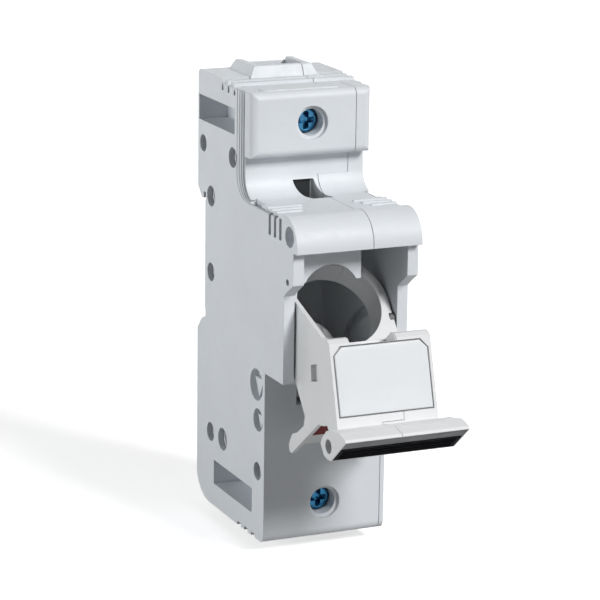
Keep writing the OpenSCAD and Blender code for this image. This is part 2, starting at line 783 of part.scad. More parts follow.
// Whole carrier, when shut, before it is parted.
module carrier() {
    difference() {
        union() {
            slab(-carrier_half, carrier_half) carrier_outline();
            slab(-grip_half, grip_half) grip_outline();
            drum();
            fuse_trough();
        }
        translate([0, -fuse_y, floor_top_z]) cylinder(h = 60, r = bore_r, $fn = 96);
        span([-inner_half, -pocket_front_y, rim_z], [carrier_half + 1, 1, 10]);
        plate_notch();
        span([-inner_half, -beyond, -beyond], [inner_half, -apron_y, -apron_top_z]);
        on_plate() translate([0, 0, -insert_t]) linear_extrude(5) insert_outline(insert_gap);
        both_sides() {
            rod_x(grip_half - grip_hole_depth, grip_half + 1, -grip_hole_y, -grip_hole_z, grip_hole_r);
            for (a = guide_angles) rod_x(pin_seat_x, carrier_half + 1, guide_r * cos(a) - swing_y,
                guide_r * sin(a) - swing_z, pin_r + 0.02);
            side_slot();
        }
        span([-grip_half + 0.3, -grip_front_y - 1, grip_plate_low_z],
            [grip_half - 0.3, grip_plate_t - grip_front_y, grip_plate_high_z]);
        indicator_space();
    }
}

apron_y = 53;
apron_top_z = 11.2;
grip_hole_y = 66.4;
grip_hole_z = 6.8;
grip_hole_depth = 4;
grip_front_y = 70.1;

// Notch in the top of the carrier plate, slanted at its left end.
module plate_notch() {
    on_plate() translate([0, 0, -6]) linear_extrude(12)
        polygon([[-8.6, 4], [-8.6, 0], [-4.4, -0.6], [4.4, -0.6], [4.4, 4]]);
}

// Small slot in each side of the carrier.
module side_slot() {
    slab(carrier_half - 1.4, carrier_half + 1)
        polygon([[-41.8, -10.6], [-43.4, -6.8], [-47.2, -9.2], [-45.5, -12.9]]);
}

// Room for the indicator board, its leads and the lens.
module indicator_space() {
    span([lens_x0 - 0.1, -apron_y - 1, lens_low_z - 0.1], [lens_x1 + 0.1, -apron_y + 2, lens_high_z + 0.1]);
    span([lens_x0 - 0.1, -apron_y + 1.2, -20.4], [lens_x1 + 0.1, -42, -13]);
    for (x = lead_x) span([x - 0.8, -43, -17.4], [x + 0.8, -fuse_y - 8, -15.8]);
}
lead_x = [-11, -6];
lead_half = 0.6;
lead_t = 0.6;
lead_z = 17;
lead_stop = 10.6;
groove_end = 2;
groove_pitch = 1.7;
groove_cut = 0.35;

guide_angles = [guide_low_angle, guide_low_angle + guide_pitch];
pin_seat_x = carrier_half - 1.05;

// Left half of the carrier.
module carrier_left() {
    color(carrier_white) swung() intersection() {
        carrier();
        carrier_left_space(0);
    }
}

beyond = 100;
grip_parting_x = -1.6;
grip_start_y = 62;

// Space of the left half of the carrier; the parting line steps sideways at the grip.
module carrier_left_space(gap) {
    span([-grip_half - 1, -grip_start_y - gap, -beyond], [carrier_parting_x + gap, beyond, beyond]);
    span([-grip_half - 1, -beyond, -beyond], [grip_parting_x + gap, -grip_start_y + 1, beyond]);
}

// Right half of the carrier.
module carrier_right() {
    color(carrier_white) swung() difference() {
        carrier();
        carrier_left_space(0.1);
    }
}

// Steel pins that run in the arc grooves.
module guide_pins() {
    color(steel_grey) swung() both_sides() for (a = guide_angles)
        rod_x(pin_seat_x, bay_half + guide_depth - 0.3, guide_r * cos(a) - swing_y,
            guide_r * sin(a) - swing_z, pin_r);
}

// White marking insert of the carrier plate.
module marking_insert() {
    color("white") swung() on_plate() translate([0, 0, -insert_t]) linear_extrude(insert_t + 0.15)
        insert_outline(0);
}

// Dark ribbed plate on the grip.
module grip_plate() {
    front = -grip_front_y;
    color([0.25, 0.26, 0.28]) swung() difference() {
        span([-grip_half + 0.4, front, grip_plate_low_z + 0.1],
            [grip_half - 0.4, front + grip_plate_t, grip_plate_high_z - 0.1]);
        for (i = [0:2]) span([-grip_half + groove_end, front - 1, grip_plate_low_z + groove_pitch * (i + 0.75)],
            [grip_half - groove_end, front + groove_cut, grip_plate_low_z + groove_pitch * (i + 1.3)]);
    }
}

// Red window of the blown-fuse indicator.
module indicator_lens() {
    color([0.5, 0.08, 0.10]) swung()
        span([lens_x0, -apron_y - lens_proud, lens_low_z], [lens_x1, lens_t - lens_proud - apron_y, lens_high_z]);
}

board_y = 50.4;
board_t = 1.2;

// Board of the indicator with its lamp.
module indicator_board() {
    mid_x = (lens_x0 + lens_x1) / 2;
    color([0.15, 0.40, 0.25]) swung() {
        span([lens_x0, -board_y, -20.3], [lens_x1, board_t - board_y, -13.1]);
        rod_y(-board_y - 1.7, 0.1 - board_y, mid_x, -15.2, 1.4, 24);
    }
}

// Sprung leads from the board to the fuse link.
module indicator_leads() {
    color(copper_tin) swung() for (x = lead_x) {
        span([x - lead_half, board_t + 0.02 - board_y, -lead_z], [x + lead_half, -fuse_y - lead_stop, lead_t - lead_z]);
    }
}

housing_left();
housing_right();
housing_rivets();
upper_contact();
lower_contact();
upper_contact_spring();
lower_contact_spring();
upper_clamp_cage();
lower_clamp_cage();
upper_clamp_screw();
lower_clamp_screw();
rail_latch();
latch_spring();
carrier_left();
carrier_right();
guide_pins();
marking_insert();
grip_plate();
indicator_lens();
indicator_board();
indicator_leads();
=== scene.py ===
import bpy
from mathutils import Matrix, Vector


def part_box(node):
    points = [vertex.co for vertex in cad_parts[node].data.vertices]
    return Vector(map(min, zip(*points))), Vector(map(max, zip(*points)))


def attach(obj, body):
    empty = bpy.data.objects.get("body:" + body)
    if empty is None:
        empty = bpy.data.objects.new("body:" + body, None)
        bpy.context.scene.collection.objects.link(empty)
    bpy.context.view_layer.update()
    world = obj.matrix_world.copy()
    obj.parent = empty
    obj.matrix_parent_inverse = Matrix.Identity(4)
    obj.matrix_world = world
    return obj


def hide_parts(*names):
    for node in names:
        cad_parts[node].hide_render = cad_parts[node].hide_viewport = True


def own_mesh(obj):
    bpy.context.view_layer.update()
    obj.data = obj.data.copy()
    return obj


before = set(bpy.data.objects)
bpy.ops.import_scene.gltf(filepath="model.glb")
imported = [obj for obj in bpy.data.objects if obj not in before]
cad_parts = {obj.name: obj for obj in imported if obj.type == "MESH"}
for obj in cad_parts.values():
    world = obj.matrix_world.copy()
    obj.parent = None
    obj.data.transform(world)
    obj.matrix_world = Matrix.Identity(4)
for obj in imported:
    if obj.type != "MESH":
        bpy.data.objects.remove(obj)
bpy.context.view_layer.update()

"""Rail-mounted fuse switch-disconnector with its carrier swung out, dressed for the photograph's view.

Sizes in the classes are millimetres in the shared frame: X is the width, -Y the front, +Z up.
Meshes are built in millimetres and stored in metres.
"""

import logging
import math
from dataclasses import dataclass
from enum import Enum
from typing import Callable, Iterable, Sequence

import bpy
import numpy as np
from mathutils import Matrix, Vector

LOG = logging.getLogger("fuse_switch")
MM = 0.001
Colour = tuple[float, float, float]


class Body(str, Enum):
    """Moving bodies of the frame that pieces ride on."""

    HOUSING = "housing"
    CARRIER = "carrier"
    UPPER_SCREW = "upper_screw"
    LOWER_SCREW = "lower_screw"


def linear(red: float, green: float, blue: float) -> Colour:
    """Turns a display colour of 0 to 255 into scene-linear values.

    Args:
        red: Red of the display colour.
        green: Green of the display colour.
        blue: Blue of the display colour.

    Returns:
        The three linear values.
    """
    def one(value: float) -> float:
        """Undoes the display curve of one channel."""
        v = value / 255.0
        return v / 12.92 if v <= 0.04045 else ((v + 0.055) / 1.055) ** 2.4

    return one(red), one(green), one(blue)


class Nodes:
    """Short-hand for building one material's node tree."""

    def __init__(self, name: str) -> None:
        """Makes an empty node material.

        Args:
            name: Name of the material.
        """
        self.material = bpy.data.materials.new(name)
        self.material.use_nodes = True
        self.tree = self.material.node_tree
        self.tree.nodes.clear()

    def add(self, kind: str, **values: object) -> bpy.types.Node:
        """Adds a node and sets its properties and input values.

        Args:
            kind: Blender's node type.
            values: Properties by name, or inputs as in_NAME with spaces written as underscores.

        Returns:
            The new node.
        """
        node = self.tree.nodes.new(kind)
        for key, value in values.items():
            if key.startswith("in_"):
                node.inputs[key[3:].replace("_", " ")].default_value = value
            else:
                setattr(node, key, value)
        return node

    def link(self, source: bpy.types.NodeSocket, target: bpy.types.NodeSocket) -> None:
        """Joins two sockets."""
        self.tree.links.new(source, target)

    def noise(self, vector: bpy.types.NodeSocket, scale: float, detail: float = 3.0,
              rough: float = 0.55) -> bpy.types.NodeSocket:
        """Adds a noise of the given scale, in waves per metre.

        Args:
            vector: Place on the object.
            scale: Waves per metre.
            detail: Octaves of the noise.
            rough: Weight of the finer octaves.

        Returns:
            The noise value.
        """
        node = self.add("ShaderNodeTexNoise", in_Scale=scale, in_Detail=detail, in_Roughness=rough)
        self.link(vector, node.inputs["Vector"])
        return node.outputs["Fac"]

    def remap(self, value: bpy.types.NodeSocket, low: float, high: float, to_low: float,
              to_high: float) -> bpy.types.NodeSocket:
        """Maps a value from one range to another with smooth ends.

        Args:
            value: The value to map.
            low: Lower end of its range.
            high: Upper end of its range.
            to_low: Result at the lower end.
            to_high: Result at the upper end.

        Returns:
            The mapped value.
        """
        node = self.add("ShaderNodeMapRange", interpolation_type="SMOOTHSTEP")
        self.link(value, node.inputs[0])
        for index, number in enumerate((low, high, to_low, to_high), start=1):
            node.inputs[index].default_value = number
        return node.outputs[0]

    def mix(self, amount: bpy.types.NodeSocket, first: object, second: object) -> bpy.types.NodeSocket:
        """Blends two colours, each a socket or a fixed colour.

        Args:
            amount: Share of the second colour.
            first: Colour at 0.
            second: Colour at 1.

        Returns:
            The blended colour.
        """
        node = self.add("ShaderNodeMix", data_type="RGBA")
        self.link(amount, node.inputs[0])
        for index, colour in ((6, first), (7, second)):
            if isinstance(colour, tuple):
                node.inputs[index].default_value = (*colour, 1.0)
            else:
                self.link(colour, node.inputs[index])
        return node.outputs[2]


# Painted shade: hollows are darkened towards this colour to stand in for the shade that falls in them.
HOLLOW_SHADE_COLOUR = linear(58, 62, 66)
HOLLOW_SHADE_OPEN = (0.05, 0.3)  # share of open air from which a cavity is fully dark, and up to which it is darkened
BROAD_SCALE = 38.0  # waves per metre of the slow drift in tone
MARK_SCALE = 420.0  # waves per metre of handling marks
SWELL_SCALE = 150.0  # waves per metre of the moulding's slight unevenness
SWELL_DEPTH = 0.02  # millimetres
LEAST_ROUGHNESS = 0.05


@dataclass(frozen=True)
class Finish:
    """Surface finish: a base tone that drifts, fine grain, handling marks, soft moulded edges and optional
    painted shade in hollows.
    """

    name: str
    colour: Colour
    drift: Colour
    mark: Colour
    roughness: float = 0.5
    spread: float = 0.1
    metallic: float = 0.0
    specular: float = 0.45
    grain: float = 4200.0
    grain_depth: float = 0.006
    streak: tuple[float, float, float] = (1.0, 1.0, 1.0)
    marks: float = 0.3
    edge: float = 0.22
    coat: float = 0.0
    # Strength of the painted shade in hollows, and how far, in millimetres, the occlusion search reaches.
    hollow_shade: float = 0.0
    reach: float = 5.0

    def add_painted_shade(self, n: Nodes, colour: bpy.types.NodeSocket) -> bpy.types.NodeSocket:
        """Paints shade into deep slots and cavities: the colour darkens where little open air is found around a
        point.

        Args:
            n: The material's nodes.
            colour: Colour of the open surface.

        Returns:
            The colour with painted shade in its cavities.
        """
        if self.hollow_shade <= 0.0:
            return colour
        # Painted shade: the less open air around a point, the closer its colour comes to the dark hollow colour.
        open_air = n.add("ShaderNodeAmbientOcclusion", samples=6, in_Distance=self.reach * MM)
        shut = n.remap(open_air.outputs["AO"], *HOLLOW_SHADE_OPEN, self.hollow_shade, 0.0)
        return n.mix(shut, colour, HOLLOW_SHADE_COLOUR)

    def build(self) -> bpy.types.Material:
        """Makes the node material.

        Returns:
            The material.
        """
        n = Nodes(self.name)
        place = n.add("ShaderNodeTexCoord").outputs["Object"]
        mapping = n.add("ShaderNodeMapping")
        mapping.inputs["Scale"].default_value = self.streak
        n.link(place, mapping.inputs["Vector"])
        stretched = mapping.outputs["Vector"]
        broad = n.noise(place, BROAD_SCALE)
        fine = n.noise(stretched, self.grain, 2.0)
        middle = n.noise(stretched, MARK_SCALE, 4.0, 0.6)
        tone = n.mix(n.remap(broad, 0.3, 0.7, 0.0, 1.0), self.colour, self.drift)
        spots = n.remap(middle, 0.56, 0.74, 0.0, self.marks)
        shaded = n.mix(spots, tone, self.mark)
        smoothest = max(LEAST_ROUGHNESS, self.roughness - self.spread)
        rough = n.remap(middle, 0.3, 0.7, smoothest, self.roughness + self.spread)
        bevel = n.add("ShaderNodeBevel", samples=4, in_Radius=self.edge * MM)
        wave = n.add("ShaderNodeBump", in_Strength=0.35, in_Distance=SWELL_DEPTH * MM)
        n.link(n.noise(place, SWELL_SCALE, 2.0), wave.inputs["Height"])
        n.link(bevel.outputs["Normal"], wave.inputs["Normal"])
        bump = n.add("ShaderNodeBump", in_Strength=0.8, in_Distance=self.grain_depth * MM)
        n.link(fine, bump.inputs["Height"])
        n.link(wave.outputs["Normal"], bump.inputs["Normal"])
        shader = n.add("ShaderNodeBsdfPrincipled", in_Metallic=self.metallic)
        shader.inputs["Specular IOR Level"].default_value = self.specular
        shader.inputs["Coat Weight"].default_value = self.coat
        # The base colour carries the painted shade of the hollows.
        n.link(self.add_painted_shade(n, shaded), shader.inputs["Base Color"])
        n.link(rough, shader.inputs["Roughness"])
        n.link(bump.outputs["Normal"], shader.inputs["Normal"])
        out = n.add("ShaderNodeOutputMaterial")
        n.link(shader.outputs["BSDF"], out.inputs["Surface"])
        return n.material


@dataclass(frozen=True)
class ShellFinish(Finish):
    """Finish of the housing shells, whose test slot leads into the unlit inside; the slot's walls get painted
    shade.
    """

    # Leaning box around the test slot, in millimetres; its walls take the dark inside colour below as painted
    # shade.
    centre: tuple[float, float, float] = (-1.055, -30.68, 22.4)
    half: tuple[float, float, float] = (3.005, 4.38, 3.1)
    lean: float = 0.3721
    foot_y: float = -26.4
    inside: Colour = linear(24, 28, 31)

    def add_painted_shade(self, n: Nodes, colour: bpy.types.NodeSocket) -> bpy.types.NodeSocket:
        """Paints shade into cavities, and paints the walls of the leaning test slot darker still as shade.

        Args:
            n: The material's nodes.
            colour: Colour of the open surface.

        Returns:
            The colour with painted shade in its cavities and in the slot.
        """
        place = n.add("ShaderNodeSeparateXYZ")
        n.link(n.add("ShaderNodeTexCoord").outputs["Object"], place.inputs[0])
        level = n.add("ShaderNodeMath", operation="SUBTRACT")
        n.link(place.outputs["Y"], level.inputs[0])
        level.inputs[1].default_value = self.foot_y * MM
        upright = n.add("ShaderNodeMath", operation="MULTIPLY_ADD")
        n.link(level.outputs[0], upright.inputs[0])
        upright.inputs[1].default_value = self.lean
        n.link(place.outputs["X"], upright.inputs[2])
        slot_shade_mask = None
        for value, middle, reach in zip((upright.outputs[0], place.outputs["Y"], place.outputs["Z"]),
                                        self.centre, self.half):
            near = n.add("ShaderNodeMath", operation="COMPARE")
            n.link(value, near.inputs[0])
            near.inputs[1].default_value = middle * MM
            near.inputs[2].default_value = reach * MM
            if slot_shade_mask is None:
                slot_shade_mask = near.outputs[0]
                continue
            both = n.add("ShaderNodeMath", operation="MULTIPLY")
            n.link(slot_shade_mask, both.inputs[0])
            n.link(near.outputs[0], both.inputs[1])
            slot_shade_mask = both.outputs[0]
        # Painted shade: inside the box the walls take the dark colour of the unlit inside.
        return n.mix(slot_shade_mask, super().add_painted_shade(n, colour), self.inside)


# The housing and carrier paint shade into their hollows; the housing also paints its test slot dark as shade.
HOUSING = ShellFinish("housing_moulding", linear(223, 227, 231), linear(219, 223, 227), linear(206, 210, 214),
                      roughness=0.52, spread=0.06, marks=0.18, hollow_shade=0.6)
CARRIER = Finish("carrier_moulding", linear(228, 229, 230), linear(224, 225, 226), linear(211, 212, 214),
                 roughness=0.45, spread=0.06, marks=0.15, hollow_shade=0.5)
INSERT = Finish("insert_white", linear(227, 230, 232), linear(224, 227, 229), linear(213, 216, 219),
                roughness=0.4, grain_depth=0.003, marks=0.15)
DARK = Finish("grip_dark", linear(20, 21, 23), linear(26, 27, 29), linear(52, 53, 56), roughness=0.66,
              specular=0.03, grain_depth=0.008, marks=0.25)
BAND = Finish("grip_band", linear(136, 138, 142), linear(128, 130, 134), linear(154, 156, 160), roughness=0.55,
              specular=0.2, grain_depth=0.006, marks=0.3)
LENS = Finish("indicator_red", linear(112, 8, 14), linear(92, 5, 10), linear(124, 18, 24), roughness=0.5,
              spread=0.05, specular=0.06, grain_depth=0.002, marks=0.2)
BOARD = Finish("board_green", linear(38, 92, 62), linear(30, 78, 52), linear(120, 124, 84), roughness=0.35,
               grain=2600.0, marks=0.5, coat=0.3)
COPPER = Finish("tinned_copper", linear(196, 192, 184), linear(184, 178, 168), linear(150, 140, 126),
                roughness=0.32, metallic=1.0, streak=(1.0, 1.0, 0.12), marks=0.4)
ZINC = Finish("blue_zinc", linear(44, 100, 134), linear(62, 112, 146), linear(30, 66, 96), roughness=0.28,
              metallic=0.95, marks=0.5, edge=0.08, grain_depth=0.01)
SPRING = Finish("spring_steel", linear(176, 178, 182), linear(160, 162, 168), linear(118, 114, 110),
                roughness=0.28, metallic=1.0, marks=0.35, edge=0.04)
PIN = Finish("pin_steel", linear(112, 114, 117), linear(104, 106, 109), linear(88, 88, 90),
             roughness=0.6, specular=0.2, metallic=0.6, marks=0.3, edge=0.06)
STEEL = Finish("rivet_steel", linear(150, 152, 156), linear(138, 140, 144), linear(110, 108, 106),
               roughness=0.5, metallic=0.9, marks=0.4, edge=0.06)

NODE_FINISH: dict[str, Finish] = {
    "housing_left": HOUSING, "housing_right": HOUSING, "rail_latch": HOUSING,
    "carrier_left": CARRIER, "carrier_right": CARRIER, "indicator_board": BOARD,
    "indicator_leads": COPPER, "upper_contact": COPPER, "lower_contact": COPPER,
    "upper_contact_spring": SPRING, "lower_contact_spring": SPRING, "upper_clamp_cage": ZINC,
    "lower_clamp_cage": ZINC, "guide_pins": PIN,
}


class Shop:
    """Builds finishes once and makes mesh pieces that ride on their bodies."""

    def __init__(self) -> None:
        """Starts with no finish built."""
        self.built: dict[str, bpy.types.Material] = {}

    def finish(self, finish: Finish) -> bpy.types.Material:
        """Gives the material of a finish, building it at first use.

        Args:
            finish: The wanted finish.

        Returns:
            Its material.
        """
        if finish.name not in self.built:
            self.built[finish.name] = finish.build()
        return self.built[finish.name]

    def dress(self, node: str, finish: Finish) -> None:
        """Gives a carried-over CAD node its material.

        Args:
            node: Name of the CAD node.
            finish: Its finish.
        """
        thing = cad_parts[node]
        material = self.finish(finish)
        if not thing.material_slots:
            thing.data.materials.append(material)
        for place in thing.material_slots:
            place.material = material
        LOG.info("dressed %s with %s", node, finish.name)

    def piece(self, name: str, points: np.ndarray, faces: Sequence[Sequence[int]], body: Body,
              finish: Finish, replaced: Iterable[str] = (), smooth: float = 35.0) -> bpy.types.Object:
        """Makes a closed mesh piece with outward faces.

        Args:
            name: Name of the piece.
            points: Points in millimetres, one row each.
            faces: Point numbers of each face.
            body: Body that the piece rides on.
            finish: Its finish.
            replaced: CAD nodes that the piece stands for.
            smooth: Edges sharper than this angle stay sharp, in degrees.

        Returns:
            The new object.
        """
        mesh = bpy.data.meshes.new(name)
        mesh.from_pydata((points * MM).tolist(), [], [list(f) for f in faces])
        if signed_volume(points, faces) < 0:
            mesh.flip_normals()
        mesh.polygons.foreach_set("use_smooth", [True] * len(mesh.polygons))
        mesh.set_sharp_from_angle(angle=math.radians(smooth))
        mesh.materials.append(self.finish(finish))
        thing = bpy.data.objects.new(name, mesh)
        bpy.context.scene.collection.objects.link(thing)
        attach(thing, body.value)
        if replaced:
            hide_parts(*replaced)
        LOG.info("built %s with %d faces", name, len(faces))
        return thing


def signed_volume(points: np.ndarray, faces: Sequence[Sequence[int]]) -> float:
    """Sums the signed volume under each face; it is negative where faces point inwards.

    Args:
        points: Points, one row each.
        faces: Point numbers of each face.

    Returns:
        The signed volume.
    """
    total = 0.0
    for face in faces:
        a = points[face[0]]
        for i in range(1, len(face) - 1):
            total += float(np.dot(a, np.cross(points[face[i]], points[face[i + 1]])))
    return total / 6.0


def lathe(rows: np.ndarray, start: Sequence[float], end: Sequence[float]) -> tuple[np.ndarray, list[list[int]]]:
    """Closes a grid of rings with a point at each end.

    Args:
        rows: Rings of points, shaped rings x points x 3; each ring is closed on itself.
        start: Point that closes the first ring.
        end: Point that closes the last ring.

    Returns:
        The points and the faces.
    """
    rings, sides = rows.shape[:2]
    points = np.vstack([rows.reshape(-1, 3), [start], [end]])
    faces: list[list[int]] = []
    for i in range(rings - 1):
        for k in range(sides):
            n = (k + 1) % sides
            faces.append([i * sides + k, i * sides + n, (i + 1) * sides + n, (i + 1) * sides + k])
    first, last = rings * sides, rings * sides + 1
    for k in range(sides):
        n = (k + 1) % sides
        faces.append([n, k, first])
        faces.append([(rings - 1) * sides + k, (rings - 1) * sides + n, last])
    return points, faces


def joined(parts: Iterable[tuple[np.ndarray, list[list[int]]]]) -> tuple[np.ndarray, list[list[int]]]:
    """Joins closed shells into one list of points and faces.

    Args:
        parts: Points and faces of each shell.

    Returns:
        The points and faces of all.
    """
    all_points: list[np.ndarray] = []
    all_faces: list[list[int]] = []
    count = 0
    for points, faces in parts:
        if signed_volume(points, faces) < 0:
            faces = [face[::-1] for face in faces]
        all_points.append(points)
        all_faces.extend([[i + count for i in face] for face in faces])
        count += len(points)
    return np.vstack(all_points), all_faces


@dataclass
class Swing:
    """The carrier's swing: places are given shut and turned to the open rest pose."""

    axis_y: float = -48.0
    axis_z: float = -38.0
    angle: float = 50.0

    def opened(self, points: np.ndarray) -> np.ndarray:
        """Turns shut points about the swing axis.

        Args:
            points: Points with the carrier shut, one row each.

        Returns:
            The points with the carrier open.
        """
        c, s = math.cos(math.radians(self.angle)), math.sin(math.radians(self.angle))
        out = points.copy()
        y, z = points[:, 1] - self.axis_y, points[:, 2] - self.axis_z
        out[:, 1] = self.axis_y + c * y - s * z
        out[:, 2] = self.axis_z + s * y + c * z
        return out


@dataclass
class ClampScrew:
    """Zinc-plated clamp screw: threaded shank, pan head and a cross recess."""

    node: str
    body: Body
    pitch: float = 0.8
    thread_depth: float = 0.42
    recess_depth: float = 1.7
    arm: float = 2.5
    arm_half: float = 0.62
    arm_slope: float = 0.22
    arm_floor: float = 0.55
    head_height: float = 3.2
    shank_r: float = 2.45
    tip_chamfer: float = 0.7
    rows_per_turn: int = 8
    head_rings: int = 44
    sides: int = 72

    def recess(self, u: np.ndarray, v: np.ndarray) -> np.ndarray:
        """Depth of the cross recess: two crossing arms with sloped walls that deepen to the middle.

        Args:
            u: Place along one arm.
            v: Place along the other.

        Returns:
            Depth at each place.
        """
        def arm(a: np.ndarray, b: np.ndarray) -> np.ndarray:
            """Depth of one arm along a."""
            wall = np.clip((self.arm_half - np.abs(b)) / self.arm_slope + 0.5, 0, 1)
            floor = np.clip((self.arm - np.abs(a)) / (self.arm * self.arm_floor), 0, 1)
            return wall * floor

        return self.recess_depth * np.maximum(arm(u, v), arm(v, u))

    def build(self, shop: Shop) -> None:
        """Builds the screw between the ends of its CAD node.

        Args:
            shop: Maker of pieces.
        """
        low, high = (Vector(c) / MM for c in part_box(self.node))
        cx, cz = (low.x + high.x) / 2, (low.z + high.z) / 2
        head_r, shank_r = (high.x - low.x) / 2, self.shank_r
        angle = np.linspace(0, 2 * math.pi, self.sides, endpoint=False)
        cos, sin = np.cos(angle), np.sin(angle)
        rows = []
        tip, neck = high.y, low.y + self.head_height
        rows.append((np.full_like(angle, shank_r - self.tip_chamfer), np.full_like(angle, tip)))
        for y in np.arange(tip - 0.4, neck + 0.8, -self.pitch / self.rows_per_turn):
            wave = 0.5 + 0.5 * np.cos(2 * math.pi * (tip - y) / self.pitch - angle)
            rows.append((shank_r - self.thread_depth * wave, np.full_like(angle, y)))
        for r, y in ((shank_r, neck + 0.6), (shank_r, neck), (head_r - 0.1, neck), (head_r, neck - 0.1),
                     (head_r, low.y + 0.55), (head_r - 0.12, low.y + 0.25), (head_r - 0.4, low.y + 0.06)):
            rows.append((np.full_like(angle, r), np.full_like(angle, y)))
        for r in np.linspace(head_r - 0.55, 0.06, self.head_rings):
            rows.append((np.full_like(angle, r), low.y + self.recess(r * cos, r * sin)))
        grid = np.array([np.stack([cx + r * cos, y, cz + r * sin], axis=1) for r, y in rows])
        points, faces = lathe(grid, (cx, tip, cz), (cx, low.y + self.recess_depth, cz))
        shop.piece(f"{self.node}_threaded", points, faces, self.body, ZINC, [self.node], 28.0)


@dataclass
class LatchSpring:
    """Round-wire compression spring with closed ends under the latch's finger."""

    node: str = "latch_spring"
    wire: float = 0.3
    turns: float = 7.5
    steps: int = 420
    sides: int = 10
    travel: float = 3.0
    slack: float = 0.05

    def build(self, shop: Shop) -> None:
        """Builds the coil, a circle swept along a helix with flat end turns.

        Args:
            shop: Maker of pieces.
        """
        low, high = (Vector(c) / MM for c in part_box(self.node))
        cx, cy = (low.x + high.x) / 2, (low.y + high.y) / 2
        radius = (high.x - low.x) / 2 - self.wire
        bottom, top = low.z + self.wire, high.z - self.wire
        t = np.linspace(0, 1, self.steps)
        rise = np.clip((t * self.turns - 1) / (self.turns - 2), 0, 1)
        turn = 2 * math.pi * self.turns * t
        centre = np.stack([cx + radius * np.cos(turn), cy + radius * np.sin(turn),
                           bottom + (top - bottom) * rise], axis=1)
        outward = np.stack([np.cos(turn), np.sin(turn), 0 * t], axis=1)
        ring = np.linspace(0, 2 * math.pi, self.sides, endpoint=False)
        rows = centre[:, None, :] + self.wire * (np.cos(ring)[None, :, None] * outward[:, None, :]
                                                 + np.sin(ring)[None, :, None] * np.array([0, 0, 1.0]))
        points, faces = lathe(rows, centre[0], centre[-1])
        coil = shop.piece("latch_spring_coil", points, faces, Body.HOUSING, SPRING,
                          [self.node], 60.0)
        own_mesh(coil)


@dataclass
class Rivets:
    """Hollow rivets with rolled rims in the round recesses of both sides."""

    places: tuple[tuple[float, float, float], ...] = (
        (1.6, 31.3, 2.4), (-19.6, 31.1, 2.8), (-4.2, 17.4, 2.9), (-4.4, -4.1, 2.6),
        (-4.8, -50.4, 2.7), (-13.7, -50.1, 3.2), (-38.6, -52.0, 2.5))
    seat_x: float = 15.8
    shank_r: float = 1.5
    roll: float = 0.42
    rim_gap: float = 0.4
    dimple_r: float = 0.7
    dimple_depth: float = 2.0
    sides: int = 40

    def build(self, shop: Shop) -> None:
        """Builds all rivets as turned shells along X.

        Args:
            shop: Maker of pieces.
        """
        angle = np.linspace(0, 2 * math.pi, self.sides, endpoint=False)
        shells = []
        for y, z, recess in self.places:
            rim, roll = recess - self.rim_gap, self.roll
            arc = np.linspace(0, math.pi, 9)
            dimple_x = self.seat_x - self.dimple_depth
            half = [(self.dimple_r, dimple_x), (self.dimple_r + 0.1, self.seat_x + 0.3),
                    (rim - 2 * roll, self.seat_x + 0.35)]
            half += [(rim - roll - roll * math.cos(a), self.seat_x + 0.4 + roll * math.sin(a)) for a in arc]
            half += [(rim - 0.02, self.seat_x + 0.02), (self.shank_r, self.seat_x)]
            profile = half + [(r, -x) for r, x in reversed(half)]
            grid = np.array([np.stack([np.full_like(angle, x), y + r * np.cos(angle), z + r * np.sin(angle)],
                                      axis=1) for r, x in profile])
            shells.append(lathe(grid, (dimple_x, y, z), (-dimple_x, y, z)))
        points, faces = joined(shells)
        shop.piece("housing_rivets_rolled", points, faces, Body.HOUSING, STEEL,
                   ["housing_rivets"], 40.0)


